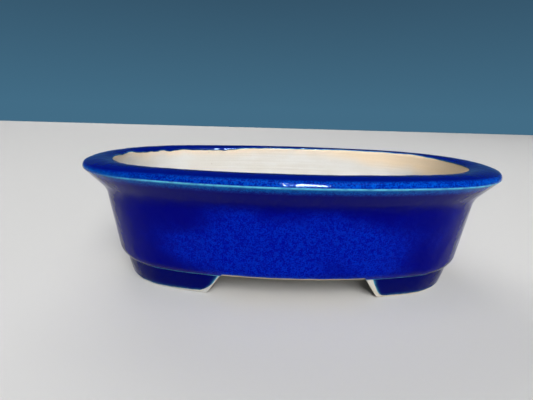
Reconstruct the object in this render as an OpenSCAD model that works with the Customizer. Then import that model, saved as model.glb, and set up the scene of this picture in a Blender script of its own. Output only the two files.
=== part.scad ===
// Oval glazed bonsai pot: a clay wall luted round a floor slab, a flared lip on top,
// four cut feet underneath, and a coat of glaze over the outside.
// Millimetres, +Z up. The origin is the centre of the footprint, where the feet stand,
// and the long side of the oval lies along X.

/* [Oval] */
// Length over the rim
rim_length = 250; // [200:2:300]
// Width over the rim
rim_width = 151.6; // [140:0.6:156]
// Height from the table to the crest of the rim
rim_height = 72.3; // [68:0.1:84]

/* [Wall] */
// Thickness of the wall with its glaze, measured level
wall_thick = 7.6; // [6:0.2:9]
// Lean of the wall outwards from upright, in degrees
wall_lean = 8.8; // [4:0.2:10]
// Inset of the wall from the rim's edge, where its straight stretch begins
wall_inset = 17.2; // [15:0.2:18]
// Radius of the rounding at the foot of the wall
base_round = 9; // [8:0.5:12]
// Radius of the cove that turns the wall out under the lip
cove_round = 14; // [10:0.5:18]

/* [Rim] */
// Depth of the lip's outer edge, from the crest to the lower arris
lip_edge = 4.8; // [4.8:0.1:5.6]
// Slope of the lip's underside from upright, in degrees
lip_flare = 43; // [40:1:50]
// Inset of the lip's crest from its outer edge
lip_crest = 9.5; // [8:0.5:9.5]
// Radius of the lip's domed top
lip_dome = 20; // [20:1:26]

/* [Floor] */
// Thickness of the floor slab
floor_thick = 8; // [6:0.5:9]
// Diameter of a drainage hole
drain_d = 20; // [14:1:24]
// Distance between the centres of the drainage holes
drain_spacing = 84; // [60:2:100]
// Diameter of a tie-wire hole
wire_d = 5; // [4:0.5:6]
// Distance between the tie-wire holes along the pot
wire_spacing_x = 128; // [126:2:132]
// Distance between the tie-wire holes across the pot
wire_spacing_y = 36; // [30:2:40]

/* [Feet] */
// Height of the feet, from the table to the underside of the floor
foot_height = 13.6; // [12.6:0.2:14.6]
// Thickness of the foot ring at the floor
foot_thick = 10.5; // [8:0.5:12]
// Inset of a foot's face from the rim's edge, at the floor
foot_inset = 21; // [20.8:0.1:22.6]
// Draft of a foot's face, from the floor to the table
foot_draft = 3.4; // [1:0.2:3.6]
// Width of the front and back gaps at the floor
side_gap = 78; // [60:2:90]
// Offset of the front gap's middle from the pot's, by hand cutting
front_shift = 2; // [-3:0.5:3]
// Width of the end gaps at the floor
end_gap = 20; // [16:2:40]
// Slope of the cut ends of the feet, as millimetres of run over the foot's height
gap_flare = 9; // [5:0.5:10]
// Radius of a foot's lower corners
foot_corner = 4; // [2:0.5:5]

/* [Glaze] */
// Thickness of the glaze coat
glaze_thick = 0.4; // [0.3:0.05:0.45]
// Height of the bare clay above the table at the bottom of a foot
foot_bare = 1; // [0.6:0.2:2]
// Width of the bare clay beside a foot's cut end
cut_bare = 2; // [1:0.5:3]
// Depth of the glaze line below the rim's inner edge
glaze_line = 1.2; // [0.6:0.2:2]

/* [Hidden] */

CLAY = [0.87, 0.79, 0.68];
BLUE = [0.02, 0.05, 0.42];

// The oval is four arcs that meet tangentially. The centres of two neighbouring arcs lie
// 7, 24 and 25 units apart (along, across and straight), so every number stays round.
unit = round((rim_length - rim_width) / 12 * 1000) / 1000;
end_centre = 7 * unit;
side_centre = 24 * unit;
end_round = rim_length / 2 - end_centre;
side_round = end_round + 25 * unit;
REACH = 16;     // how many such units the dividing planes run out
TALL = 200;     // more than the pot's height
WIDE = 300;     // more than the pot's length
ARC_FN = 180;

// Profile points are [inset from the rim's outer edge, height]. Angle 0 points inwards and
// 90 points up.
function round3(v) = round(v * 1000) / 1000;
function tidy(path) = [for (p = path) [round3(p[0]), round3(p[1])]];
function reversed(path) = [for (i = [len(path) - 1:-1:0]) path[i]];
function inner_points(path) = [for (i = [1:len(path) - 2]) path[i]];
function heading(angle) = [cos(angle), sin(angle)];
function arc(centre, r, from, to, n) =
    [for (i = [0:n]) centre + r * heading(from + (to - from) * i / n)];

shoulder_round = 3;
arris_round = 0.5;
inner_round = 1.5;
fillet_round = 6;
edge_tuck = 6;
face_bulge = 0.3;
foot_chamfer = 0.5;
slope = tan(wall_lean);
floor_top = foot_height + floor_thick;
slab_edge = wall_inset + wall_thick + 2;

// The rounding at the foot of the wall runs up into the wall's straight stretch.
straight_from = foot_height + 5.6;
base_centre = [wall_inset, straight_from] + base_round * heading(wall_lean);

// The lip is domed. Outside the dome comes a round shoulder, then a short tucked-in face down
// to the arris.
dome_centre = [lip_crest, rim_height - lip_dome];
shoulder_turn = asin((lip_crest - shoulder_round) / (lip_dome - shoulder_round));
shoulder_centre = dome_centre + (lip_dome - shoulder_round) * heading(90 + shoulder_turn);
shoulder_end = shoulder_centre + shoulder_round * heading(180 + edge_tuck);
arris = [shoulder_end[0] + (shoulder_end[1] - rim_height + lip_edge) * tan(edge_tuck),
         rim_height - lip_edge];
arris_centre = arris + arris_round / cos((lip_flare - edge_tuck) / 2)
    * heading((lip_flare + edge_tuck) / 2);

// The cove joins the wall's face to the lip's sloping underside.
face_at_arris = wall_inset - (arris[1] - straight_from) * slope;
corner_drop = (face_at_arris - arris[0]) / (tan(lip_flare) - slope);
corner = arris + corner_drop * [tan(lip_flare), -1];
cove_turn = lip_flare - wall_lean;
cove_centre = corner - cove_round / cos(cove_turn / 2) * heading((lip_flare + wall_lean) / 2);
rim_joint = round3(cove_centre[1] + cove_round * sin((lip_flare + wall_lean) / 2));

// The bare inside face of the wall, at a given height.
function inside(h) = wall_inset + wall_thick - glaze_thick - (h - straight_from) * slope;

// The rounding inside the rim touches both the dome and the inside face. Its centre is a
// number of millimetres above the dome's, from a quadratic.
inner_reach = lip_dome - inner_round;
inner_run = inside(dome_centre[1]) - (inner_round - glaze_thick) / cos(wall_lean) - lip_crest;
inner_rise = (inner_run * slope + sqrt(pow(inner_reach, 2) * (1 + slope * slope) - pow(inner_run, 2)))
    / (1 + slope * slope);
inner_centre = dome_centre + [inner_run - inner_rise * slope, inner_rise];
inner_turn = atan2(inner_rise, inner_run - inner_rise * slope);

// Each stretch of the outside, at a depth g below the surface of the glaze.
function base_stretch(g) =
    arc(base_centre, base_round - g, 180 + asin((base_centre[1] - foot_height) / (base_round - g)),
        180 + wall_lean, 10);
function joint_angle(g) = asin((rim_joint - cove_centre[1]) / (cove_round + g));
function cove_below(g) = arc(cove_centre, cove_round + g, wall_lean, joint_angle(g), 5);
function cove_above(g) = arc(cove_centre, cove_round + g, joint_angle(g), lip_flare, 5);
function lip_stretch(g) = concat(
    arc(arris_centre, arris_round - g, 180 + lip_flare, 180 + edge_tuck, 4),
    arc(shoulder_centre, shoulder_round - g, 180 + edge_tuck, 90 + shoulder_turn, 8),
    inner_points(arc(dome_centre, lip_dome - g, 90 + shoulder_turn, inner_turn, 8)),
    arc(inner_centre, inner_round - g, inner_turn, wall_lean, 6));
function fillet_stretch() =
    arc([inside(floor_top + fillet_round) + fillet_round / cos(wall_lean), floor_top + fillet_round],
        fillet_round, 180 + wall_lean, 270, 8);

// The face of a foot, which bulges a little. It is followed down to the heights in ends.
function foot_face(g, ends) =
    [for (h = concat([for (i = [0:5]) foot_height - (foot_height - 2.4) * i / 5], ends))
        let (t = 1 - h / foot_height)
        [foot_inset + g + foot_draft * t - face_bulge * sin(180 * t), h]];

// A profile turned about an arc's centre.
module turned(r, path) {
    rotate_extrude($fn = ARC_FN) polygon([for (p = path) [r - p[0], p[1]]]);
}

// The sectors that an end arc and a side arc of the oval fill, on one side of the pot.
along = end_centre + 7 * REACH;
across = 24 * REACH;
module end_sector(side) {
    polygon([[side * end_centre, 0], [side * along, across],
             [side * 3 * along, 0], [side * along, -across]]);
}

module side_sector(side) {
    polygon([[end_centre, 0], [along, side * across],
             [-along, side * across], [-end_centre, 0]]);
}

// A profile swept round the whole oval: two end arcs and two side arcs, cut where they meet.
module swept(profile) {
    path = tidy(profile);
    for (side = [-1, 1]) {
        intersection() {
            translate([side * end_centre, 0, 0]) turned(end_round, path);
            linear_extrude(TALL) end_sector(side);
        }
        intersection() {
            translate([0, -side * side_centre, 0]) turned(side_round, path);
            linear_extrude(TALL) side_sector(side);
        }
    }
}

// A flat slab of the oval's shape.
module oval_slab(inset, h) {
    linear_extrude(h) {
        for (side = [-1, 1]) {
            intersection() {
                translate([side * end_centre, 0]) circle(end_round - inset, $fn = ARC_FN);
                end_sector(side);
            }
            intersection() {
                translate([0, -side * side_centre]) circle(side_round - inset, $fn = ARC_FN);
                side_sector(side);
            }
        }
    }
}

// The outline of a foot seen along its cut: the cut end leans away from the gap as it goes
// down and has a rounded lower corner. The edge is where the cut meets the floor.
module foot_outline(edge, low, corner_round, reach) {
    lean = atan(gap_flare / foot_height);
    foot_end = edge + gap_flare * (foot_height - low) / foot_height;
    centre = [foot_end + corner_round / tan((90 + lean) / 2), low + corner_round];
    polygon(tidy(concat(
        [[edge, foot_height]],
        arc(centre, corner_round, 180 + lean, 270, 6),
        [[reach, low], [reach, foot_height]])));
}

// The quarter that one foot fills, at the x side of the front or back gap and the y side of
// an end gap. The margin moves both cuts back from the gaps.
module foot_quarter(x, y, margin, low, corner_round) {
    shift = y < 0 ? front_shift : 0;
    intersection() {
        scale([x, 1, 1]) translate([0, WIDE / 2, 0]) rotate([90, 0, 0]) linear_extrude(WIDE)
            foot_outline(side_gap / 2 + x * shift + margin, low, corner_round, rim_length / 2);
        rotate(90) scale([y, 1, 1]) translate([0, WIDE / 2, 0]) rotate([90, 0, 0])
            linear_extrude(WIDE)
                foot_outline(end_gap / 2 + margin, low, corner_round, rim_width / 2);
    }
}

module foot(x, y) {
    back = foot_inset + foot_thick;
    color(CLAY) intersection() {
        swept(concat(foot_face(glaze_thick, [foot_bare, foot_chamfer]),
                     [[foot_inset + glaze_thick + foot_draft + foot_chamfer, 0],
                      [back, 0], [back + 1, foot_height]]));
        foot_quarter(x, y, 0, 0, foot_corner);
    }
}

module foot_glaze(x, y) {
    color(BLUE) intersection() {
        swept(concat(foot_face(0, [foot_bare]), reversed(foot_face(glaze_thick, [foot_bare]))));
        foot_quarter(x, y, cut_bare, foot_bare, foot_corner + cut_bare);
    }
}

module floor_slab() {
    color(CLAY) difference() {
        translate([0, 0, foot_height]) oval_slab(slab_edge, floor_thick);
        for (x = [-1, 1]) {
            translate([x * drain_spacing / 2, 0, foot_height - 1])
                cylinder(d = drain_d, h = floor_thick + 2, $fn = 64);
            for (y = [-1, 1])
                translate([x * wire_spacing_x / 2, y * wire_spacing_y / 2, foot_height - 1])
                    cylinder(d = wire_d, h = floor_thick + 2, $fn = 32);
        }
    }
}

// The wall wraps the slab's edge, and its fillet lies on the slab.
module wall() {
    color(CLAY) swept(concat(
        base_stretch(glaze_thick),
        cove_below(glaze_thick),
        [[inside(rim_joint), rim_joint]],
        fillet_stretch(),
        [[slab_edge, floor_top], [slab_edge, foot_height]]));
}

module wall_glaze() {
    color(BLUE) swept(concat(
        base_stretch(0), cove_below(0),
        reversed(cove_below(glaze_thick)), reversed(base_stretch(glaze_thick))));
}

module rim_lip() {
    color(CLAY) swept(concat(
        cove_above(glaze_thick), lip_stretch(glaze_thick), [[inside(rim_joint), rim_joint]]));
}

// The glaze runs over the rim and stops just below its inner edge.
module rim_glaze() {
    line = inner_centre[1] - glaze_line;
    over = glaze_thick / cos(wall_lean);
    color(BLUE) swept(concat(
        cove_above(0), lip_stretch(0),
        [[inside(line) + over, line], [inside(line), line]],
        reversed(lip_stretch(glaze_thick)), reversed(cove_above(glaze_thick))));
}

floor_slab();
wall();
rim_lip();
foot(-1, -1);  // foot_front_left
foot(1, -1);  // foot_front_right
foot(-1, 1);  // foot_back_left
foot(1, 1);  // foot_back_right
wall_glaze();
rim_glaze();
foot_glaze(-1, -1);  // foot_front_left_glaze
foot_glaze(1, -1);  // foot_front_right_glaze
foot_glaze(-1, 1);  // foot_back_left_glaze
foot_glaze(1, 1);  // foot_back_right_glaze
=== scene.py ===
import math

import bmesh
import bpy
import numpy as np
from mathutils import Matrix, Vector


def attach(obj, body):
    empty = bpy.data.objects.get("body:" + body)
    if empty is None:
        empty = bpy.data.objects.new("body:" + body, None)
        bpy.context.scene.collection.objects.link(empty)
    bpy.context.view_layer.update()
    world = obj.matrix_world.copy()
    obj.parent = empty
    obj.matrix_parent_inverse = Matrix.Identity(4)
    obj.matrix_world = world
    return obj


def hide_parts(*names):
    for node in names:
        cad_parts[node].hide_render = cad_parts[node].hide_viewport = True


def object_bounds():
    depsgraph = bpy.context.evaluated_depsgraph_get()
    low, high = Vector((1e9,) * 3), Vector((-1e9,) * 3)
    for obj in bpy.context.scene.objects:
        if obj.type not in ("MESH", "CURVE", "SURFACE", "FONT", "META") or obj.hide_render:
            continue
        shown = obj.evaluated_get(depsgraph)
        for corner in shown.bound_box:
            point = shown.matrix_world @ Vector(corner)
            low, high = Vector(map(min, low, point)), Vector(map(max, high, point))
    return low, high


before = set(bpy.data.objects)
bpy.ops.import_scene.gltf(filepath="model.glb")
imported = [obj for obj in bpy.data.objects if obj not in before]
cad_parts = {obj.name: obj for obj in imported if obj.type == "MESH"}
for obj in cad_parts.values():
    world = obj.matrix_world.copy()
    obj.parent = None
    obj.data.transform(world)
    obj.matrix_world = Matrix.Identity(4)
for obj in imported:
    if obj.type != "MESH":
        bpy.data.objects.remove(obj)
cad_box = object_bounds()
MM = 0.001

# ---------------------------------------------------------------- the pot's measures, in mm
# The outer size is the frame's, and the rest are the numbers of the CAD model. Insets are
# counted inwards from the rim's edge, and the glaze lies inside them. The oval is four arcs,
# whose centres are END_C and SIDE_C from its middle. LIP_EDGE is how far below the top the
# lip's arris lies, LIP_CREST the inset of the lip's highest line and LIP_DOME the radius of
# its curve.
LENGTH, WIDTH, HEIGHT = (round((hi - lo) / MM, 1) for lo, hi in zip(*cad_box))
UNIT = (LENGTH - WIDTH) / 12
END_C, SIDE_C = 7 * UNIT, 24 * UNIT
END_R = LENGTH / 2 - END_C
SIDE_R = END_R + 25 * UNIT
LEAN = math.radians(8.8)
FLARE = math.radians(43)
TUCK = math.radians(6)
FOOT_H, FLOOR_TOP = 13.6, 21.6
WALL_INSET, WALL_THICK, GLAZE = 17.2, 7.6, 0.4
LIP_EDGE, LIP_CREST, LIP_DOME = 4.8, 9.5, 20.0
BASE_ROUND, COVE_ROUND, SHOULDER_ROUND, FILLET_ROUND = 9.0, 14.0, 3.0, 6.0
ARRIS_ROUND, INNER_ROUND, LOW_ROUND = 0.5, 1.5, 0.5
STRAIGHT_FROM = FOOT_H + 5.6    # the wall is straight above this height
SLAB_EDGE = WALL_INSET + WALL_THICK + 2    # inset of the floor slab's edge
FOOT_INSET, FOOT_THICK, FOOT_DRAFT, FOOT_BULGE = 21.0, 10.5, 3.4, 0.3
FOOT_CORNER = 4.0
SIDE_GAP, END_GAP, GAP_FLARE, FRONT_SHIFT = 78.0, 20.0, 9.0, 2.0
DRAIN_X, DRAIN_R = 42.0, 10.0
WIRE_X, WIRE_Y, WIRE_R = 64.0, 18.0, 2.5
AROUND = 800        # columns of each mesh round the pot
HALF = math.pi / 2


def heading(a):
    """The way an angle points in a profile: 0 is inwards and 90 degrees is up."""
    return np.array([math.cos(a), math.sin(a)])


# ---------------------------------------------------------------- the profile
class Path:
    """A profile of arcs and lines in (inset, height). at() follows it by its own length, and
    also gives the outward normal at each place."""

    def __init__(self):
        self.parts, self.starts, self.length = [], [], 0.0

    def add(self, part, length):
        self.parts.append(part)
        self.starts.append(self.length)
        self.length += length

    def line(self, a, b):
        a, b = np.asarray(a, float), np.asarray(b, float)
        length = float(np.hypot(*(b - a)))
        self.add(("line", a, (b - a) / length), length)

    def arc(self, centre, r, a0, a1, hollow=False):
        self.add(("arc", np.asarray(centre, float), r, a0, a1, hollow), abs(a1 - a0) * r)

    def at(self, s):
        s = np.asarray(s, float)
        out = np.zeros(s.shape + (4,))
        k = np.clip(np.searchsorted(self.starts, s, side="right") - 1, 0, len(self.parts) - 1)
        for i, part in enumerate(self.parts):
            m = k == i
            if not m.any():
                continue
            t = s[m] - self.starts[i]
            if part[0] == "line":
                p, d = part[1], part[2]
                out[m, 0], out[m, 1] = p[0] + d[0] * t, p[1] + d[1] * t
                out[m, 2], out[m, 3] = -d[1], d[0]
            else:
                c, r, a0, a1, hollow = part[1:]
                a = a0 + np.sign(a1 - a0) * t / r
                out[m, 0], out[m, 1] = c[0] + r * np.cos(a), c[1] + r * np.sin(a)
                sign = -1 if hollow else 1
                out[m, 2], out[m, 3] = sign * np.cos(a), sign * np.sin(a)
        return out


def clay_path():
    """The bare clay's profile, from the underside round the outside and the lip to the floor,
    with the place where each stretch begins."""
    slope = math.tan(LEAN)
    base_c = np.array([WALL_INSET, STRAIGHT_FROM]) + BASE_ROUND * heading(LEAN)
    r_base = BASE_ROUND - GLAZE
    drop = base_c[1] - FOOT_H - LOW_ROUND
    low_c = np.array([base_c[0] - math.sqrt((r_base - LOW_ROUND) ** 2 - drop ** 2),
                      FOOT_H + LOW_ROUND])
    low_turn = math.asin(drop / (r_base - LOW_ROUND))

    dome_c = np.array([LIP_CREST, HEIGHT - LIP_DOME])
    turn_out = HALF + math.asin((LIP_CREST - SHOULDER_ROUND) / (LIP_DOME - SHOULDER_ROUND))
    shoulder_c = dome_c + (LIP_DOME - SHOULDER_ROUND) * heading(turn_out)
    tuck_top = shoulder_c + SHOULDER_ROUND * heading(math.pi + TUCK)
    arris = np.array([tuck_top[0] + (tuck_top[1] - HEIGHT + LIP_EDGE) * math.tan(TUCK),
                      HEIGHT - LIP_EDGE])
    arris_c = arris + ARRIS_ROUND / math.cos((FLARE - TUCK) / 2) * heading((FLARE + TUCK) / 2)
    face = WALL_INSET - (arris[1] - STRAIGHT_FROM) * slope
    down = (face - arris[0]) / (math.tan(FLARE) - slope)
    corner = arris + down * np.array([math.tan(FLARE), -1])
    cove_c = corner - COVE_ROUND / math.cos((FLARE - LEAN) / 2) * heading((FLARE + LEAN) / 2)
    r_cove = COVE_ROUND + GLAZE
    joint = cove_c[1] + COVE_ROUND * math.sin((FLARE + LEAN) / 2)

    def inside(h):
        return WALL_INSET + WALL_THICK - GLAZE - (h - STRAIGHT_FROM) * slope

    # The rounding inside the rim touches both the dome and the inside face.
    reach = LIP_DOME - INNER_ROUND
    run = inside(dome_c[1]) - (INNER_ROUND - GLAZE) / math.cos(LEAN) - LIP_CREST
    rise = (run * slope + math.sqrt(reach ** 2 * (1 + slope ** 2) - run ** 2)) / (1 + slope ** 2)
    inner_c = dome_c + [run - rise * slope, rise]
    turn_in = math.atan2(rise, run - rise * slope)
    fillet_h = FLOOR_TOP + FILLET_ROUND
    fillet_c = np.array([inside(fillet_h) + FILLET_ROUND / math.cos(LEAN), fillet_h])

    p = Path()
    marks = {}
    p.line([SLAB_EDGE, FOOT_H], [low_c[0], FOOT_H])
    marks["low_arris"] = p.length
    p.arc(low_c, LOW_ROUND, -HALF, -math.pi + low_turn)
    marks["base"] = p.length
    p.arc(base_c, r_base, math.pi + low_turn, math.pi + LEAN)
    marks["wall"] = p.length
    p.line(base_c + r_base * heading(math.pi + LEAN), cove_c + r_cove * heading(LEAN))
    marks["cove"] = p.length
    p.arc(cove_c, r_cove, LEAN, FLARE, hollow=True)
    marks["joint"] = marks["cove"] + r_cove * (math.asin((joint - cove_c[1]) / r_cove) - LEAN)
    marks["under"] = p.length
    p.line(cove_c + r_cove * heading(FLARE),
           arris_c + (ARRIS_ROUND - GLAZE) * heading(math.pi + FLARE))
    marks["arris"] = p.length
    p.arc(arris_c, ARRIS_ROUND - GLAZE, math.pi + FLARE, math.pi + TUCK)
    marks["tuck"] = p.length
    p.line(arris_c + (ARRIS_ROUND - GLAZE) * heading(math.pi + TUCK),
           shoulder_c + (SHOULDER_ROUND - GLAZE) * heading(math.pi + TUCK))
    marks["shoulder"] = p.length
    p.arc(shoulder_c, SHOULDER_ROUND - GLAZE, math.pi + TUCK, turn_out)
    marks["top"] = p.length
    p.arc(dome_c, LIP_DOME - GLAZE, turn_out, turn_in)
    marks["inner"] = p.length
    p.arc(inner_c, INNER_ROUND - GLAZE, turn_in, LEAN)
    marks["inside"] = p.length
    p.line(inner_c + (INNER_ROUND - GLAZE) * heading(LEAN),
           fillet_c + FILLET_ROUND * heading(math.pi + LEAN))
    marks["fillet"] = p.length
    p.arc(fillet_c, FILLET_ROUND, math.pi + LEAN, 3 * HALF, hollow=True)
    marks["floor"] = p.length
    marks["joint_inside"] = marks["inside"] + (
        p.at(np.array([marks["inside"]]))[0, 1] - joint) / math.cos(LEAN)
    return p, marks


path, mark = clay_path()

# ---------------------------------------------------------------- the oval
SEAM = math.atan2(24, 7)


def oval(phi):
    """Centre and radius of the arc that faces the way phi, with phi's cosine and sine."""
    phi = np.asarray(phi, float)
    c, s = np.cos(phi), np.sin(phi)
    end = np.abs(np.sin(phi)) < math.sin(SEAM) - 1e-12
    cx = np.where(end, np.where(c > 0, END_C, -END_C), 0.0)
    cy = np.where(end, 0.0, np.where(s > 0, -SIDE_C, SIDE_C))
    return cx, cy, np.where(end, END_R, SIDE_R), c, s


def on_oval(phi, inset, height):
    """The point at that inset and height whose outward direction is phi."""
    cx, cy, r, c, s = oval(phi)
    out = np.zeros(np.broadcast(phi, inset, height).shape + (3,))
    out[..., 0] = cx + (r - inset) * c
    out[..., 1] = cy + (r - inset) * s
    out[..., 2] = height
    return out


def spread_phi(n, inset=12.0):
    """n directions, evenly spaced along the oval at that inset, from -Y round by +X."""
    a_end, a_side = 2 * SEAM, math.pi - 2 * SEAM
    ends, sides = a_end * (END_R - inset), a_side * (SIDE_R - inset)
    total = 2 * (ends + sides)
    s = (np.arange(n) + 0.5) * total / n
    knots = np.cumsum([0, sides / 2, ends, sides, ends, sides / 2])
    angles = -HALF + np.cumsum([0, a_side / 2, a_end, a_side, a_end, a_side / 2])
    return np.interp(s, knots, angles), s, total


PHI, ARC, TOTAL = spread_phi(AROUND)
PHI_COLUMN, ARC_COLUMN = PHI[:, None], ARC[:, None]
RIPPLES = 26        # waves that are added up in a ripple


def wave(terms, seed):
    """A smooth random wave round the pot. Each term is a number of cycles and a size in mm."""
    r = np.random.default_rng(seed)
    out = np.zeros_like(ARC)
    for cycles, size in terms:
        for _ in range(3):
            k = max(1, int(round(cycles * r.uniform(0.8, 1.25))))
            out += size * np.sin(2 * math.pi * k * ARC / TOTAL + r.uniform(0, 7)) / 1.7
    return out


def ripple(s, seed, size, most_cycles, most_per_mm):
    """A smooth random ripple over the surface, closed round the pot: waves with up to so many
    cycles round it and so many per mm along the profile."""
    r = np.random.default_rng(seed)
    out = np.zeros(np.broadcast(ARC_COLUMN, s).shape)
    for _ in range(RIPPLES):
        cycles = int(r.uniform(-most_cycles, most_cycles))
        per_mm = r.uniform(-most_per_mm, most_per_mm)
        out += np.sin(2 * math.pi * (cycles * ARC_COLUMN / TOTAL + per_mm * s) + r.uniform(0, 7))
    return out * size / math.sqrt(RIPPLES / 2)


# ---------------------------------------------------------------- meshes
def add_mesh(name, verts, faces, normals=None, floats=None):
    """verts is in mm. normals has one for each face corner, and floats maps an attribute's
    name to one number per vertex."""
    me = bpy.data.meshes.new(name)
    verts = np.asarray(verts, float) * MM
    faces = np.asarray(faces, dtype=np.int64)
    me.vertices.add(len(verts))
    me.vertices.foreach_set("co", verts.ravel())
    me.loops.add(faces.size)
    me.loops.foreach_set("vertex_index", faces.ravel())
    me.polygons.add(len(faces))
    width = faces.shape[1]
    me.polygons.foreach_set("loop_start", np.arange(0, faces.size, width))
    me.polygons.foreach_set("loop_total", np.full(len(faces), width))
    me.update(calc_edges=True)
    me.polygons.foreach_set("use_smooth", np.ones(len(faces), bool))
    for key, values in (floats or {}).items():
        a = me.attributes.new(key, "FLOAT", "POINT")
        a.data.foreach_set("value", np.asarray(values, float).ravel())
    if normals is not None:
        me.normals_split_custom_set(np.asarray(normals, float).reshape(-1, 3).tolist())
    ob = bpy.data.objects.new(name, me)
    bpy.context.scene.collection.objects.link(ob)
    return ob


def unit(v):
    return v / np.maximum(np.linalg.norm(v, axis=-1, keepdims=True), 1e-12)


def grid_normals(p, closed_u=True):
    """Normals of a grid of points, from the differences between neighbours."""
    if closed_u:
        du = np.roll(p, -1, 0) - np.roll(p, 1, 0)
    else:
        du = np.gradient(p, axis=0)
    dv = np.gradient(p, axis=1)
    return unit(np.cross(du, dv))


def sweep_mesh(name, bands, floats):
    """A closed shell swept round the oval. bands is a list of point grids p (around, along) that
    follow one another round the profile and meet at their ends, with values for the named
    floats. Each band has its own normals, so the corners between bands stay crisp."""
    faces, normals = [], []
    total = sum(b["p"].shape[1] - 1 for b in bands)
    n = bands[0]["p"].shape[0]
    first = np.arange(n)[:, None] * total
    grid = np.zeros((n, total, 3))
    attr = {k: np.zeros((n, total)) for k in floats}
    column = 0
    for b in bands:
        p = b["p"]
        m = p.shape[1] - 1
        out = b["n"] if "n" in b else grid_normals(p)
        cols = np.arange(column, column + m)
        grid[:, cols] = p[:, :-1]
        for k in attr:
            attr[k][:, cols] = b[k][:, :-1]
        this, following = first + cols, first + (cols + 1) % total
        square = (this, np.roll(this, -1, 0), np.roll(following, -1, 0), following)
        faces.append(np.stack(square, -1).reshape(-1, 4))
        near_n, far_n = out[:, :-1], out[:, 1:]
        corners = (near_n, np.roll(near_n, -1, 0), np.roll(far_n, -1, 0), far_n)
        normals.append(np.stack(corners, -2).reshape(-1, 4, 3))
        column += m
    return add_mesh(name, grid.reshape(-1, 3), np.concatenate(faces), np.concatenate(normals),
                    {k: v.ravel() for k, v in attr.items()})


def place(s, height):
    """Points round the pot at a height above the clay's surface."""
    q = path.at(s)
    return on_oval(PHI_COLUMN, q[..., 0] + height * q[..., 2], q[..., 1] + height * q[..., 3])


def level_ring(inset, z):
    """Points round the pot at one inset and height."""
    return on_oval(PHI, inset, z)


def near(s, middle, width):
    """A smooth bump that is 1 at the middle."""
    return np.exp(-((s - middle) / width) ** 2)


def part_way(v, start, run):
    """0 before the start, 1 after the run, and a straight slope between."""
    return np.clip((v - start) / run, 0, 1)


def smooth_way(v, middle, width):
    """0 well before the middle, 1 well after it, and smooth between."""
    return 1 / (1 + np.exp((middle - v) / width))


# ---------------------------------------------------------------- where the glaze ends
# Inside the rim the glaze stops in a ragged line, lower in some places than in others.
# The heights are for directions in degrees, from +X round by +Y.
RIM_LINE = [(0, 70.0), (22, 70.2), (40, 70.9), (52, 71.3), (78, 71.3), (94, 70.8), (98, 70.3),
            (101, 68.8), (104, 69.1), (112, 69.6), (118, 69.2), (126, 68.8), (131, 69.4),
            (136, 69.0), (147, 68.9), (154, 69.5), (160, 70.2), (167, 70.7), (175, 70.1),
            (187, 70.7), (230, 70.2), (310, 70.2), (360, 70.0)]
SCALLOP = 0.30      # size of the line's scallops
END_HALF = 60.0     # the pot's ends are beyond this in X
GAP_STOP = 2.2      # over a gap, the glaze stops this far up from the wall's lower arris
FOLD = 0.25         # and over a foot it goes this far past that arris

back_left = np.clip(-np.cos(PHI), 0, 1) * np.clip(np.sin(PHI), 0, 1)
rag = wave([(9, 0.20), (23, 0.14), (61, 0.10)], 3)
scallops = wave([(34, 1.0), (75, 0.8)], 5)
rag += SCALLOP * np.tanh(3 * scallops) * (0.25 + 1.2 * back_left)
line_z = np.interp(np.degrees(PHI) % 360, *zip(*RIM_LINE)) - rag * (0.35 + 0.9 * back_left)
inner_s = np.linspace(mark["inner"] - 1.5, mark["inside"] + 8, 400)
line_s = np.interp(-line_z, -path.at(inner_s)[:, 1], inner_s)

# Under the wall it goes round the arris onto each foot, and in the gaps it stops short of it.
feet_line = on_oval(PHI, FOOT_INSET, 0.0)
shift = np.where(np.sin(PHI) < 0, FRONT_SHIFT, 0.0)
into_side = SIDE_GAP / 2 - np.abs(feet_line[:, 0] - shift)
into_end = END_GAP / 2 - np.abs(feet_line[:, 1])
at_an_end = np.abs(feet_line[:, 0]) > END_HALF
in_gap = smooth_way(np.where(at_an_end, np.maximum(into_side, into_end), into_side), 0.3, 0.35)
stop = mark["base"] + GAP_STOP + wave([(17, 0.10), (47, 0.08)], 8)
low_s = (1 - in_gap) * (mark["low_arris"] - FOLD) + in_gap * stop


# ---------------------------------------------------------------- the glaze over wall and rim
BEAD = 0.55         # width of the rounded roll at a free edge
BURIED = 0.03       # how far the glaze's hidden side lies under the clay's surface


def steps(*counts, start=0):
    """Row numbers that divide each whole step from start on into so many."""
    out = []
    for i, n in enumerate(counts):
        out.extend(np.linspace(start + i, start + i + 1, n, endpoint=False))
    return np.array(out + [start + len(counts)])


# Whole row numbers fall on these places along the profile.
KEYS = [0, mark["base"], mark["base"] + 2.0, mark["wall"], mark["cove"], mark["joint"],
        mark["under"], mark["arris"], mark["tuck"], mark["shoulder"], mark["top"], mark["inner"],
        mark["inside"], 0]
JOINT_KEY = KEYS.index(mark["joint"])
rows = steps(5, 8, 20, 22, 8)
rows_up = steps(6, 14, 6, 2, 16, 18, 6, 7, start=JOINT_KEY)
JOINT_ROW = len(rows) - 1


def glaze_s(r):
    """Profile positions of the rows, for each direction round the pot. The first and last are
    the glaze's two edges, and the nearest keys keep clear of them."""
    keys = np.tile(np.array(KEYS, float), (AROUND, 1))
    keys[:, 0] = low_s
    keys[:, 1] = np.maximum(keys[:, 1], low_s + 0.35)
    keys[:, 2] = np.maximum(keys[:, 2], keys[:, 1] + 0.5)
    keys[:, -1] = line_s
    keys[:, -2] = np.minimum(keys[:, -2], line_s - 0.45)
    keys[:, -3] = np.minimum(keys[:, -3], line_s - 0.75)
    k = np.clip(np.floor(r).astype(int), 0, len(KEYS) - 2)
    t = r - k
    return keys[:, k] * (1 - t) + keys[:, k + 1] * t


def bead(e, width):
    """The share of its thickness that the glaze has at a distance e from its edge."""
    x = np.clip(e / width, 0, 1)
    return np.sqrt(np.clip(1 - (1 - x) ** 2, 0, 1))


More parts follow.
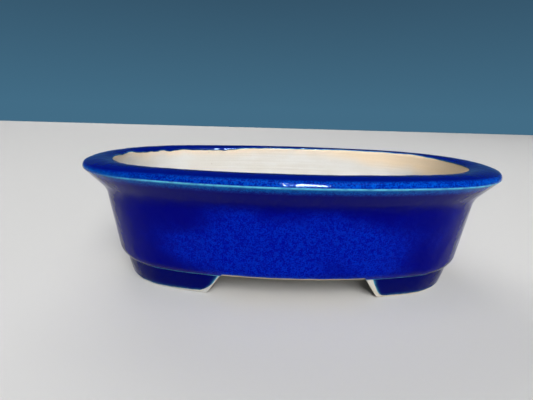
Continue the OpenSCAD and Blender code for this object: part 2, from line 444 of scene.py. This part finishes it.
grid_s = glaze_s(np.concatenate([rows, rows_up[1:]]))
edge_in = line_s[:, None] - grid_s
edge_low = grid_s - low_s[:, None]
open_edge = in_gap[:, None]
bead_low = bead(edge_low, BEAD) * open_edge + (1 - open_edge)
bead_low = np.where(grid_s < mark["base"] + 4, bead_low, 1.0)
thick = GLAZE + ripple(grid_s, 21, 0.020, 46, 0.055) + ripple(grid_s, 22, 0.010, 90, 0.11)
thick += 0.10 * near(edge_in, 0.7, 0.45) + 0.05 * near(edge_low, 0.8, 0.5) * open_edge
thick *= bead(edge_in, BEAD) * bead_low
glaze_face = place(grid_s, thick)
glaze_normal = grid_normals(glaze_face)

# The lip's outer edge is thinly glazed: paler up and down from the arris, and palest on it.
# Towards the pot's two ends that pale line is lost.
lip_line = mark["arris"] + 0.15
over, under = grid_s - lip_line, lip_line - grid_s
along_x = feet_line[:, :1]
crisp = part_way(along_x, -88, 28) * part_way(-along_x, -108, 34)
paler_above = (1 - part_way(over, 1.5 + 1.5 * crisp, 1.3)) * (0.5 + 0.5 * part_way(over, 0, 0.7))
paler_below = 1 - part_way(under, 3.0, 2.5)
paler = np.where(over > 0, paler_above, paler_below)
paler = paler * np.clip(0.80 + 0.45 * along_x / 100, 0.3, 1)
teal_above = 0.6 * (1 - crisp) * near(over, 0.7, 0.9)
teal_below = (1 - part_way(under, 1.4, 2.2)) * (0.35 + 0.65 * crisp)
teal = np.where(over > 0, teal_above, teal_below)
pool = 0.35 * smooth_way(grid_s, mark["top"] + 0.2, 0.7)
thin = np.maximum.reduce([
    0.9 * near(grid_s, lip_line, 0.20) * (0.1 + 0.9 * crisp),
    near(grid_s, mark["base"] + 0.25, 0.40) * (1 - open_edge),
    0.9 * np.exp(-edge_low / 0.35) * open_edge,
    0.55 * np.exp(-edge_in / 0.22)])

# The glaze is a lighter blue with more crystals on the lower middle of the long sides, and a
# darker blue higher up and towards the ends.
wall_z = path.at(grid_s)[..., 1]
middle = np.exp(-(np.abs(level_ring(16, 0)[:, :1]) / 62) ** 2.6)
drift = ripple(grid_s, 55, 0.35, 12, 0.03)
crystals = middle * (1 - part_way(wall_z, 36, 22)) * (1.0 + drift) + 0.12 + 0.15 * drift
# What the glaze's colour depends on, from 0 to 1: where it is thin, paler, greener or
# gathered, how dense the crystals are, and (on the feet) how much painted shade darkens it.
shades = {"thin": thin, "paler": paler, "teal": teal, "pool": pool,
          "crystals": np.clip(crystals, 0, 1)}


def flat_band(a, b):
    """The narrow ring between two lines of points."""
    return np.stack([a, b], 1)


def shell(name, sl):
    """The glaze over some of the rows: its free surface, its two edges, and its hidden side
    just under the clay's surface."""
    outer = glaze_face[:, sl]
    hidden = place(grid_s[:, sl], -BURIED)[:, ::-1]
    bands = [dict(p=outer, n=glaze_normal[:, sl], **{k: v[:, sl] for k, v in shades.items()})]
    for part in (flat_band(outer[:, -1], hidden[:, 0]), hidden,
                 flat_band(hidden[:, -1], outer[:, 0])):
        last = {k: np.repeat(v[:, sl][:, -1:], part.shape[1], 1) for k, v in shades.items()}
        bands.append(dict(p=part, **last))
    return sweep_mesh(name, bands, tuple(shades))


wall_glaze = shell("wall_glaze_coat", slice(0, JOINT_ROW + 1))
rim_glaze = shell("rim_glaze_coat", slice(JOINT_ROW, None))


# ---------------------------------------------------------------- the clay of wall and rim
# The attribute below is the distance in mm below the glaze line, which tints the clay.
UNDER_GLAZE, FOOT_BELOW, JOINT_BELOW, FLOOR_BELOW = -1.0, 9.0, 14.0, 50.0
RINGS, RING_SIZE = 14, 0.009


def throwing(s):
    """Faint level rings inside, as the mould and the sponge leave them."""
    r = np.random.default_rng(41)
    out = np.zeros(np.broadcast(ARC_COLUMN, s).shape)
    for _ in range(RINGS):
        k = r.uniform(0.12, 0.55)
        size, cycles, start = r.uniform(0.2, 0.8), int(r.uniform(1, 5)), r.uniform(0, 7)
        sway = size * np.sin(2 * math.pi * cycles * ARC_COLUMN / TOTAL + start)
        out += np.sin(2 * math.pi * k * s + sway + r.uniform(0, 7)) * r.uniform(0.4, 1)
    return out * RING_SIZE


def clay_band(a, b, n, rings=False, fade=False):
    """The clay's surface from a to b along the profile, with n points across it. With fade,
    the rings die away towards the floor."""
    s = np.tile(np.linspace(a, b, n), (AROUND, 1))
    height = throwing(s) if rings else np.zeros_like(s)
    if fade:
        height = height * np.clip((mark["floor"] - s) / 3, 0, 1)
    return dict(p=place(s, height), below=np.clip(s - line_s[:, None], -2, 60))


def plain_band(p, below):
    """A grid of points with one tint."""
    return dict(p=p, below=np.full(p.shape[:2], below))


rim_outer = clay_band(mark["joint"], mark["inside"], 60)
rim_inner = clay_band(mark["inside"], mark["joint_inside"], 34, rings=True)
rim_flat = flat_band(rim_inner["p"][:, -1], rim_outer["p"][:, 0])
rim_clay = sweep_mesh("rim_lip_clay", [rim_outer, rim_inner, plain_band(rim_flat, JOINT_BELOW)],
                      ("below",))

wall_outer = plain_band(clay_band(0, mark["joint"], 70)["p"], UNDER_GLAZE)
wall_inner = clay_band(mark["joint_inside"], mark["fillet"], 56, rings=True)
wall_fillet = clay_band(mark["fillet"], mark["floor"], 16, rings=True, fade=True)
slab_top = level_ring(SLAB_EDGE, FLOOR_TOP)
wall_flat = flat_band(wall_outer["p"][:, -1], wall_inner["p"][:, 0])
wall_clay = sweep_mesh("wall_clay", [
    wall_outer, plain_band(wall_flat, JOINT_BELOW), wall_inner, wall_fillet,
    plain_band(flat_band(wall_fillet["p"][:, -1], slab_top), FLOOR_BELOW),
    plain_band(flat_band(slab_top, wall_outer["p"][:, 0]), FLOOR_BELOW)], ("below",))


# ---------------------------------------------------------------- the floor slab
# Each hole has its centre, its radius and its number of corners.
HOLES = [(x, 0.0, DRAIN_R, 96) for x in (-DRAIN_X, DRAIN_X)]
HOLES += [(x, y, WIRE_R, 40) for x in (-WIRE_X, WIRE_X) for y in (-WIRE_Y, WIRE_Y)]


def floor_slab(name):
    """A slab of the oval's shape with soft-edged holes."""
    bm = bmesh.new()

    def ring(points, z):
        vs = [bm.verts.new((x, y, z)) for x, y in points]
        return vs, [bm.edges.new((vs[i], vs[(i + 1) % len(vs)])) for i in range(len(vs))]

    def skin(a, b):
        for i in range(len(a)):
            j = (i + 1) % len(a)
            bm.faces.new((a[i], a[j], b[j], b[i])).smooth = True

    edge = on_oval(PHI[::2], SLAB_EDGE, 0.0)[:, :2]
    low, low_edges = ring(edge, FOOT_H)
    top, top_edges = ring(edge, FLOOR_TOP)
    skin(low, top)
    turns = [(math.sin(t), math.cos(t)) for t in np.linspace(0, HALF, 7)]
    for x, y, r, n in HOLES:
        a = np.arange(n) * 2 * math.pi / n
        soft = min(0.9, r * 0.3)
        profile = [(r + soft * (1 - si), FLOOR_TOP - soft * (1 - co)) for si, co in turns]
        profile += [(r + soft * (1 - co), FOOT_H + soft * (1 - si)) for si, co in turns]
        rings = [ring(np.stack([x + wide * np.cos(a), y + wide * np.sin(a)], 1), z)
                 for wide, z in profile]
        for (upper, _), (lower, _) in zip(rings, rings[1:]):
            skin(upper, lower)
        top_edges += rings[0][1]
        low_edges += rings[-1][1]
    for edges in (top_edges, low_edges):
        made = bmesh.ops.triangle_fill(bm, edges=edges, use_beauty=True)
        for f in made["geom"]:
            if isinstance(f, bmesh.types.BMFace):
                f.smooth = False
    bmesh.ops.recalc_face_normals(bm, faces=bm.faces[:])
    for v in bm.verts:
        v.co *= MM
    me = bpy.data.meshes.new(name)
    bm.to_mesh(me)
    bm.free()
    ob = bpy.data.objects.new(name, me)
    bpy.context.scene.collection.objects.link(ob)
    below = me.attributes.new("below", "FLOAT", "POINT")
    below.data.foreach_set("value", np.full(len(me.vertices), FLOOR_BELOW))
    return ob


slab = floor_slab("floor_slab_clay")


# ---------------------------------------------------------------- the feet
BACK_LEAN = 1.0     # how much farther in a foot's back lies at its top
CUT_LEAN = math.atan(GAP_FLARE / FOOT_H)
SOFT = 0.9          # rounding of a clay foot's edges
DEPTH = 10.0        # the depth of a foot's block, for that rounding
SHARP_CORNER = 2.5  # rounding of the front left foot's lower corner at the side gap
FOOT_BEAD, FOOT_BURIED = 0.60, 0.04     # a foot's glaze's own BEAD and BURIED


def foot_face(z):
    """Inset of a foot's clay face at a height."""
    t = 1 - z / FOOT_H
    return FOOT_INSET + GLAZE + FOOT_DRAFT * t - FOOT_BULGE * np.sin(math.pi * t)


def foot_back(z):
    return FOOT_INSET + FOOT_THICK + BACK_LEAN * z / FOOT_H


def cut_edge(z, edge, corner):
    """Where a foot's cut end lies at a height: a slope with a rounded lower corner."""
    slope = edge + GAP_FLARE * (FOOT_H - z) / FOOT_H
    centre = edge + GAP_FLARE + corner / math.tan((HALF + CUT_LEAN) / 2)
    across = corner ** 2 - (corner - np.clip(z, 0, corner)) ** 2
    curve = centre - np.sqrt(np.clip(across, 0, None))
    return np.where(z < corner * (1 - math.sin(CUT_LEAN)), curve, slope)


def solve_phi(inset, x=None, y=None):
    """The direction in the +X +Y quarter where the oval at that inset reaches x or y."""
    lo = np.zeros_like(inset)
    hi = np.full_like(inset, HALF)
    for _ in range(40):
        mid = 0.5 * (lo + hi)
        p = on_oval(mid, inset, 0.0)
        high = (p[..., 0] < x) if x is not None else (p[..., 1] > y)
        hi = np.where(high, mid, hi)
        lo = np.where(high, lo, mid)
    return 0.5 * (lo + hi)


class Foot:
    """One foot in its own measures: along it from the side gap's cut, height, and depth from
    the clay's face. The quarter's signs are applied last."""

    def __init__(self, sx, sy, corners):
        self.sx, self.sy, self.corners = sx, sy, corners
        self.edge_x = SIDE_GAP / 2 + (sx * FRONT_SHIFT if sy < 0 else 0.0)
        z = np.array([FOOT_H / 2])
        a, b = self.cuts(z, foot_face(z))
        p = on_oval(np.linspace(b[0], a[0], 400), foot_face(z), 0.0)
        self.length = float(np.linalg.norm(np.diff(p, axis=0), axis=1).sum())

    def cuts(self, z, inset):
        """The directions in which the cuts at the side gap and at the end gap lie."""
        return (solve_phi(inset, x=cut_edge(z, self.edge_x, self.corners[0])),
                solve_phi(inset, y=cut_edge(z, END_GAP / 2, self.corners[1])))

    def point(self, along, z, depth):
        """depth runs from 0 at the face to 1 at the back. Equal steps in along are equal
        steps on the oval."""
        z = np.clip(z, 0, FOOT_H)
        inset = foot_face(z) + depth * (foot_back(z) - foot_face(z))
        r_end, r_side = END_R - inset, SIDE_R - inset
        seam = SEAM * r_end
        a, b = (np.where(phi < SEAM, phi * r_end, seam + (phi - SEAM) * r_side)
                for phi in self.cuts(z, inset))
        s = a + (b - a) * (along / self.length)
        phi = np.where(s < seam, s / r_end, SEAM + (s - seam) / r_side)
        return on_oval(phi, inset, z) * [self.sx, self.sy, 1]

    def rounded(self, along, z, depth):
        """A point of the foot's block with its lower and cut edges rounded. The 50 mm keep the
        rounding away from its top edge."""
        q = np.stack(np.broadcast_arrays(along, z, depth * DEPTH), -1).astype(float)
        core = np.clip(q, SOFT, [self.length - SOFT, FOOT_H + 50, DEPTH - SOFT])
        d = q - core
        size = np.maximum(np.linalg.norm(d, axis=-1, keepdims=True), 1e-9)
        on_surface = np.abs(d).max(-1, keepdims=True) > SOFT - 1e-6
        q = np.where(on_surface, core + d / size * SOFT, q)
        return self.point(q[..., 0], q[..., 1], q[..., 2] / DEPTH)


def soft_steps(end, n, r, both=True):
    """Positions from 0 to the end, close together over one or both rounded ends."""
    t = r * (1 - np.tan(np.linspace(math.pi / 4, 0, 6)))
    out = [t, np.linspace(t[-1], end - r if both else end, n + 1)[1:]]
    if both:
        out.append((end - t)[::-1][1:])
    return np.concatenate(out)


def quads(g):
    """The faces between the vertices of a grid."""
    return np.stack([g[:-1, :-1], g[1:, :-1], g[1:, 1:], g[:-1, 1:]], -1).reshape(-1, 4)


def foot_clay(name, foot):
    """The clay block of one foot, closed, with soft lower and cut edges."""
    alongs = soft_steps(foot.length, 84, SOFT)
    heights = soft_steps(FOOT_H, 14, SOFT, both=False)
    depths = soft_steps(1.0, 9, SOFT / DEPTH)
    verts, faces, known = [], [], {}

    def side(index, na, nb, flip):
        """One side of the block as a grid. Points shared with other sides are welded."""
        ijk = np.array([[index(i, j) for j in range(nb)] for i in range(na)])
        pts = foot.rounded(alongs[ijk[..., 0]], heights[ijk[..., 1]], depths[ijk[..., 2]])
        grid = np.zeros((na, nb), int)
        for i in range(na):
            for j in range(nb):
                key = tuple(ijk[i, j])
                if key not in known:
                    known[key] = len(verts)
                    verts.append(pts[i, j])
                grid[i, j] = known[key]
        faces.append(quads(grid)[:, ::-1] if flip else quads(grid))

    la, lz, ld = len(alongs) - 1, len(heights) - 1, len(depths) - 1
    mirror = foot.sx * foot.sy < 0
    side(lambda i, j: (i, j, 0), la + 1, lz + 1, mirror)
    side(lambda i, j: (i, j, ld), la + 1, lz + 1, not mirror)
    side(lambda i, j: (i, 0, j), la + 1, ld + 1, not mirror)
    side(lambda i, j: (i, lz, j), la + 1, ld + 1, mirror)
    side(lambda i, j: (0, i, j), lz + 1, ld + 1, mirror)
    side(lambda i, j: (la, i, j), lz + 1, ld + 1, not mirror)
    return add_mesh(name, verts, np.concatenate(faces), None,
                    {"below": np.full(len(verts), FOOT_BELOW)})


def waver(x, seed, size):
    """A small smooth wave in the line of a glaze edge."""
    return size * (np.sin(x * 0.9 + seed) + 0.6 * np.sin(x * 2.3 + 2 * seed)
                   + 0.4 * np.sin(x * 4.9 + 3 * seed))


def foot_coat(name, foot, seed, margins, corners, low, rise=0.0):
    """The glaze on a foot's face. It stops short of the table and of the two cuts. Each margin
    is its distance from a cut at the table and what that gains by the top, and corners are the
    roundings of its lower corners. Its lower edge rises towards the side gap."""
    up = np.concatenate([np.linspace(0, 0.12, 6), np.linspace(0.12, 1, 16)[1:]])
    along = np.concatenate([np.linspace(0, 0.02, 6), np.linspace(0.02, 0.98, 86)[1:-1],
                            np.linspace(0.98, 1, 6)])[:, None]
    level = low + up * (FOOT_H - low)

    def margin(which):
        at_table, gain = margins[which]
        c = corners[which]
        k = np.clip((low + c - level) / c, 0, 1)
        rounding = c * (1 - np.sqrt(np.clip(1 - k ** 2, 0, 1)))
        return (at_table + gain * (level / FOOT_H) ** 2 + rounding
                + waver(level * 1.7, seed + which, 0.06))

    first, last = margin(0), foot.length - margin(1)
    x = first + (last - first) * along
    raised = (waver(x * 0.55, seed + 5, 0.07) + rise * np.exp(-x / 16)) * (1 - up)
    z = np.minimum(level + raised, FOOT_H)
    # Distance to the free edges, for the rounded bead and for the thin, pale line.
    e = np.maximum(np.minimum(np.minimum(x - first, last - x), z - low - raised), 0)
    base = foot.rounded(x, z, np.zeros_like(x))
    normal = grid_normals(base, closed_u=False)
    outward = np.mean(np.sum(normal * (base * [1, 1, 0]), -1)) > 0
    sign = 1.0 if outward else -1.0
    normal = normal * sign
    t = GLAZE + 0.015 * np.sin(x * 0.8 + seed) * np.sin(z * 0.7) + 0.10 * near(e, 0.8, 0.5)
    outer = base + normal * (t * bead(e, FOOT_BEAD))[..., None]
    hidden = base - normal * FOOT_BURIED
    outer_normal = grid_normals(outer, closed_u=False) * sign

    count = x.size
    g = np.arange(count).reshape(x.shape)
    border = np.concatenate([g[:, 0], g[-1, 1:], g[-2::-1, -1], g[0, -2:0:-1]])
    behind = border + count
    edge = np.stack([border, behind, np.roll(behind, -1), np.roll(border, -1)], -1)
    sides = [quads(g), quads(g + count)[:, ::-1], edge]
    if not outward:
        sides = [f[:, ::-1] for f in sides]
    n = np.concatenate([outer_normal.reshape(-1, 3), -normal.reshape(-1, 3)])
    normals = np.concatenate([n[sides[0]], n[sides[1]], n[sides[2] % count]])
    verts = np.concatenate([outer.reshape(-1, 3), hidden.reshape(-1, 3)])
    floats = {k: np.zeros(2 * count) for k in ("paler", "teal", "crystals")}
    floats["thin"] = np.tile(0.95 * np.exp(-e / 0.40).ravel(), 2)
    # Painted shade: every foot's glaze is darkened halfway towards a dark navy, as if in shadow.
    floats["shaded"] = np.full(2 * count, 0.5)
    return add_mesh(name, verts, np.concatenate(sides), normals, floats)


# In mm. The first margin and corner are at the side gap, the second at the end gap.
FOOT_GLAZE = {
    "front_left": dict(margins=((0.9, 0), (1.2, 0)), corners=(6.5, 3.0), low=1.1, rise=1.1),
    "front_right": dict(margins=((2.6, 1.1), (1.2, 0)), corners=(3.5, 3.0), low=1.1, rise=0.3),
    "back_left": dict(margins=((1.4, 0), (1.6, 0)), corners=(3.0, 3.0), low=1.3),
    "back_right": dict(margins=((1.8, 0), (1.1, 0)), corners=(3.5, 3.0), low=1.1),
}
feet = {}
for quarter, sx, sy in (("front_left", -1, -1), ("front_right", 1, -1),
                        ("back_left", -1, 1), ("back_right", 1, 1)):
    gap_corner = SHARP_CORNER if quarter == "front_left" else FOOT_CORNER
    foot = Foot(sx, sy, (gap_corner, FOOT_CORNER))
    node = f"foot_{quarter}"
    feet[node] = foot_clay(f"{node}_clay", foot)
    feet[f"{node}_glaze"] = foot_coat(f"{node}_coat", foot, 3 + sx + 2 * sy,
                                      **FOOT_GLAZE[quarter])


# ---------------------------------------------------------------- materials
def srgb(*rgb):
    """A colour given as 0 to 255 in sRGB, in linear light with an alpha of 1."""
    parts = [c / 255 for c in rgb]
    linear = [c / 12.92 if c <= 0.04045 else ((c + 0.055) / 1.055) ** 2.4 for c in parts]
    return (*linear, 1.0)


class Nodes:
    """A material's node tree, with a short way to add each kind of node it needs."""

    def __init__(self, name):
        self.mat = bpy.data.materials.new(name)
        self.mat.use_nodes = True
        self.tree = self.mat.node_tree
        self.tree.nodes.clear()
        self.out = self.add("ShaderNodeOutputMaterial")
        self.bsdf = self.add("ShaderNodeBsdfPrincipled")
        self.link(self.bsdf.outputs[0], self.out.inputs[0])
        self.obj = self.add("ShaderNodeTexCoord").outputs["Object"]

    def add(self, kind, **props):
        n = self.tree.nodes.new(kind)
        for k, v in props.items():
            setattr(n, k, v)
        return n

    def link(self, a, b):
        self.tree.links.new(a, b)

    def value(self, sock, v):
        if isinstance(v, (int, float, tuple, list)):
            sock.default_value = v
        else:
            self.link(v, sock)

    def math(self, op, a, b, clamp=False):
        n = self.add("ShaderNodeMath", operation=op, use_clamp=clamp)
        self.value(n.inputs[0], a)
        self.value(n.inputs[1], b)
        return n.outputs[0]

    def times(self, a, b, clamp=False):
        return self.math("MULTIPLY", a, b, clamp)

    def mix(self, f, a, b):
        n = self.add("ShaderNodeMix", data_type="RGBA")
        self.value(n.inputs["Factor"], f)
        self.value(n.inputs["A"], a)
        self.value(n.inputs["B"], b)
        return n.outputs["Result"]

    def attr(self, name):
        return self.add("ShaderNodeAttribute", attribute_name=name).outputs["Fac"]

    def ramp(self, f, start, end, low=0, high=1):
        """Low where f is at the start or before it, high from the end on, smooth between."""
        n = self.add("ShaderNodeMapRange", interpolation_type="SMOOTHSTEP")
        self.value(n.inputs["Value"], f)
        n.inputs["From Min"].default_value = start
        n.inputs["From Max"].default_value = end
        n.inputs["To Min"].default_value = low
        n.inputs["To Max"].default_value = high
        return n.outputs[0]

    def noise(self, scale, detail, rough, stretch=None):
        n = self.add("ShaderNodeTexNoise", noise_dimensions="3D")
        n.inputs["Scale"].default_value = scale
        n.inputs["Detail"].default_value = detail
        n.inputs["Roughness"].default_value = rough
        where = self.obj
        if stretch:
            m = self.add("ShaderNodeMapping")
            m.inputs["Scale"].default_value = stretch
            self.link(where, m.inputs[0])
            where = m.outputs[0]
        self.link(where, n.inputs["Vector"])
        return n.outputs["Fac"]

    def bump(self, height, strength, distance, normal=None):
        n = self.add("ShaderNodeBump")
        n.inputs["Strength"].default_value = strength
        n.inputs["Distance"].default_value = distance
        self.link(height, n.inputs["Height"])
        if normal:
            self.link(normal, n.inputs["Normal"])
        return n.outputs[0]


GLAZE_DARK, GLAZE_BLUE, GLAZE_CRYSTAL = srgb(0, 0, 102), srgb(0, 0, 124), srgb(0, 33, 156)
LIP_BLUE, LIP_CRYSTAL, LIP_TEAL = srgb(0, 28, 134), srgb(0, 75, 182), srgb(0, 92, 158)
# The second colour on the next line is painted shade: the feet's glaze as if in shadow.
GLAZE_POOL, GLAZE_PAINTED_SHADE, GLAZE_THIN = srgb(0, 30, 102), srgb(0, 4, 48), srgb(100, 196, 220)
CLAY_CREAM, CLAY_WARM, CLAY_TAN = srgb(192, 191, 187), srgb(187, 183, 175), srgb(214, 187, 149)
CLAY_RING, CLAY_GRAIN, CLAY_SPECK = srgb(170, 148, 124), srgb(160, 144, 124), srgb(120, 84, 58)


def glaze_material():
    """Deep blue with fine paler crystals, mottled on the lip, and a pale blue-green where the
    glaze is thin. Noise scales are for metres, and bump distances are in metres."""
    k = Nodes("cobalt_glaze")
    thin, paler, pool = k.attr("thin"), k.attr("paler"), k.attr("pool")
    density = k.attr("crystals")
    fine = k.noise(1300, 3.0, 0.6)               # crystals under 1 mm across
    clusters = k.noise(420, 2.0, 0.5)
    crystals = k.ramp(k.math("ADD", k.times(fine, 0.7), k.times(clusters, 0.3)), 0.40, 0.60)
    drifts = k.times(k.math("SUBTRACT", k.noise(60, 2.0, 0.5), 0.5), 0.7)
    area = k.ramp(k.math("ADD", density, drifts), 0.2, 1.0)
    colour = k.mix(area, GLAZE_DARK, GLAZE_BLUE)
    colour = k.mix(k.times(crystals, area), colour, GLAZE_CRYSTAL)
    lip = k.mix(crystals, LIP_BLUE, LIP_CRYSTAL)
    colour = k.mix(k.times(paler, k.ramp(crystals, 0, 1, 0.7, 1.0), True), colour, lip)
    teal = k.times(k.attr("teal"), k.ramp(crystals, 0, 1, 0.45, 0.95))
    colour = k.mix(teal, colour, LIP_TEAL)
    colour = k.mix(pool, colour, GLAZE_POOL)
    # Painted shade: the feet's glaze is mixed towards a dark navy, as if in shadow.
    colour = k.mix(k.attr("shaded"), colour, GLAZE_PAINTED_SHADE)
    worn = k.times(thin, k.ramp(k.noise(260, 2.0, 0.6), 0.3, 0.6, 0.6, 1.1), True)
    colour = k.mix(worn, colour, GLAZE_THIN)
    k.link(colour, k.bsdf.inputs["Base Color"])
    k.bsdf.inputs["Roughness"].default_value = 0.05
    k.bsdf.inputs["IOR"].default_value = 1.5
    k.bsdf.inputs["Specular IOR Level"].default_value = 0.05
    k.bsdf.inputs["Specular Tint"].default_value = (0.50, 0.75, 1.0, 1.0)
    dimples = k.bump(k.noise(330, 2.0, 0.5), 0.40, 0.00025)
    swells = k.bump(k.noise(140, 1.0, 0.4), 0.30, 0.0010, dimples)
    k.link(swells, k.bsdf.inputs["Normal"])
    return k.mat


def clay_material():
    """Cream clay with faint level rings, fine grain and a few brown specks. Below the glaze
    line it is flushed tan, farther down towards the pot's +X end."""
    k = Nodes("fired_clay")
    below = k.attr("below")
    split = k.add("ShaderNodeSeparateXYZ")
    k.link(k.obj, split.inputs[0])
    reach = k.times(k.ramp(split.outputs["X"], 0.0, 0.09), 10.0)
    sway = k.times(k.math("SUBTRACT", k.noise(60, 2.0, 0.6), 0.5), 6.0)
    flush = k.ramp(k.math("SUBTRACT", k.math("ADD", below, sway), reach), -3, 7, 1, 0)
    cloud = k.ramp(k.noise(34, 3.0, 0.55, stretch=(1, 1, 2.2)), 0.35, 0.7)
    rings = k.ramp(k.noise(170, 3.0, 0.6, stretch=(0.12, 0.12, 3.0)), 0.35, 0.68)
    colour = k.mix(cloud, CLAY_CREAM, CLAY_WARM)
    colour = k.mix(k.times(flush, 0.8), colour, CLAY_TAN)
    colour = k.mix(k.times(rings, 0.08), colour, CLAY_RING)
    grain = k.ramp(k.noise(2600, 1.0, 0.5), 0.35, 0.65)
    colour = k.mix(k.times(grain, 0.10), colour, CLAY_GRAIN)
    cells = k.add("ShaderNodeTexVoronoi", feature="F1")
    cells.inputs["Scale"].default_value = 150.0
    k.link(k.obj, cells.inputs["Vector"])
    specks = k.ramp(cells.outputs["Distance"], 0.05, 0.10, 1, 0)
    few = k.ramp(k.noise(95, 0.0, 0.5), 0.60, 0.66)
    colour = k.mix(k.times(k.times(specks, few), 0.75), colour, CLAY_SPECK)
    k.link(colour, k.bsdf.inputs["Base Color"])
    k.link(k.ramp(grain, 0, 1, 0.72, 0.86), k.bsdf.inputs["Roughness"])
    k.bsdf.inputs["Specular IOR Level"].default_value = 0.15
    pores = k.bump(k.noise(900, 3.0, 0.6), 0.25, 0.0002)
    lines = k.bump(k.noise(210, 2.0, 0.6, stretch=(0.15, 0.15, 3.0)), 0.25, 0.0004, pores)
    k.link(lines, k.bsdf.inputs["Normal"])
    return k.mat


glaze_mat, clay_mat = glaze_material(), clay_material()

pieces = {"floor_slab": slab, "wall": wall_clay, "rim_lip": rim_clay,
          "wall_glaze": wall_glaze, "rim_glaze": rim_glaze, **feet}
for node, ob in pieces.items():
    coat = node.endswith("glaze")
    ob.data.materials.append(glaze_mat if coat else clay_mat)
    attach(ob, "root")
    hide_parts(node)

# ---------------------------------------------------------------- floor, light, camera
# From here on lengths are in metres.
FLOOR_HALF = 1.8
LAMP_DISTANCE = 4.0
LIT_POINT = (0, -0.07, 0.07)                # the middle of the front lip
WINDOW_HEIGHT, WINDOW_TILT = 3.2, math.radians(-5)
WINDOW_WATTS = 4300                         # for each metre of a window's width
CAMERA_AT = Vector((-0.0125, -0.2355, 0.1017))
YAW, PITCH, ROLL = math.radians(-0.30), math.radians(13.89), math.radians(-1.5584)
LENS, SENSOR = 24.957, 36.0                 # in mm

floor_look = Nodes("studio_floor")
floor_look.bsdf.inputs["Base Color"].default_value = (0.54, 0.53, 0.515, 1)
floor_look.bsdf.inputs["Roughness"].default_value = 0.9
floor_look.bsdf.inputs["Specular IOR Level"].default_value = 0.0
floor_mesh = bpy.data.meshes.new("studio_floor")
corners = [(x * FLOOR_HALF, y * FLOOR_HALF, 0) for x, y in ((-1, -1), (1, -1), (1, 1), (-1, 1))]
floor_mesh.from_pydata(corners, [], [(0, 1, 2, 3)])
floor = bpy.data.objects.new("studio_floor", floor_mesh)
bpy.context.scene.collection.objects.link(floor)
floor_mesh.materials.append(floor_look.mat)

# The room round the pot is a dim blue that gets darker upwards.
world = bpy.data.worlds.new("studio")
world.use_nodes = True
bpy.context.scene.world = world
nodes, links = world.node_tree.nodes, world.node_tree.links
direction = nodes.new("ShaderNodeTexCoord")
split = nodes.new("ShaderNodeSeparateXYZ")
upwards = nodes.new("ShaderNodeMapRange")
upwards.inputs["From Max"].default_value = 0.5
room = nodes.new("ShaderNodeMix")
room.data_type = "RGBA"
room.inputs["A"].default_value = (0.055, 0.15, 0.235, 1)
room.inputs["B"].default_value = (0.015, 0.030, 0.055, 1)
links.new(direction.outputs["Generated"], split.inputs[0])
links.new(split.outputs["Z"], upwards.inputs["Value"])
links.new(upwards.outputs[0], room.inputs["Factor"])
links.new(room.outputs["Result"], nodes["Background"].inputs[0])
nodes["Background"].inputs[1].default_value = 1.0


def lamp(name, azimuth, elevation, size, watts):
    """A soft light aimed at the pot from that azimuth (0 is +Y, 90 is +X) and elevation."""
    a, e = math.radians(azimuth), math.radians(elevation)
    target = Vector(LIT_POINT)
    way = Vector((math.sin(a) * math.cos(e), math.cos(a) * math.cos(e), math.sin(e)))
    light = bpy.data.lights.new(name, "AREA")
    light.shape = "RECTANGLE"
    light.size, light.size_y = size
    light.energy = watts
    ob = bpy.data.objects.new(name, light)
    ob.location = target + LAMP_DISTANCE * way
    ob.rotation_euler = (-way).to_track_quat("-Z", "Y").to_euler()
    bpy.context.scene.collection.objects.link(ob)
    return ob


lamp("key", 171, 36, (2.4, 2.2), 205).visible_glossy = False
lamp("overhead", 178, 76, (4.0, 3.0), 64)
lamp("fill", -20, 40, (3.0, 2.5), 80).visible_glossy = False
# Two tall windows only show as reflections in the glaze.
for name, azimuth, width in (("window_left", 173.2, 0.36), ("window_right", 165.8, 0.29)):
    window = lamp(name, azimuth, 33, (width, WINDOW_HEIGHT), WINDOW_WATTS * width)
    window.rotation_euler.rotate_axis("Z", WINDOW_TILT)
    window.visible_diffuse = False

level_right = Vector((math.cos(YAW), -math.sin(YAW), 0))
ahead = Vector((math.sin(YAW) * math.cos(PITCH), math.cos(YAW) * math.cos(PITCH),
                -math.sin(PITCH)))
level_down = ahead.cross(level_right)
right = math.cos(ROLL) * level_right + math.sin(ROLL) * level_down
down = -math.sin(ROLL) * level_right + math.cos(ROLL) * level_down
lens = bpy.data.cameras.new("camera")
lens.sensor_width = SENSOR
lens.lens = LENS
lens.clip_start = 0.01
camera = bpy.data.objects.new("camera", lens)
pose = Matrix((right, -down, -ahead)).transposed().to_4x4()
pose.translation = CAMERA_AT
camera.matrix_world = pose
bpy.context.scene.collection.objects.link(camera)
bpy.context.scene.camera = camera
bpy.context.scene.view_settings.view_transform = "Standard"
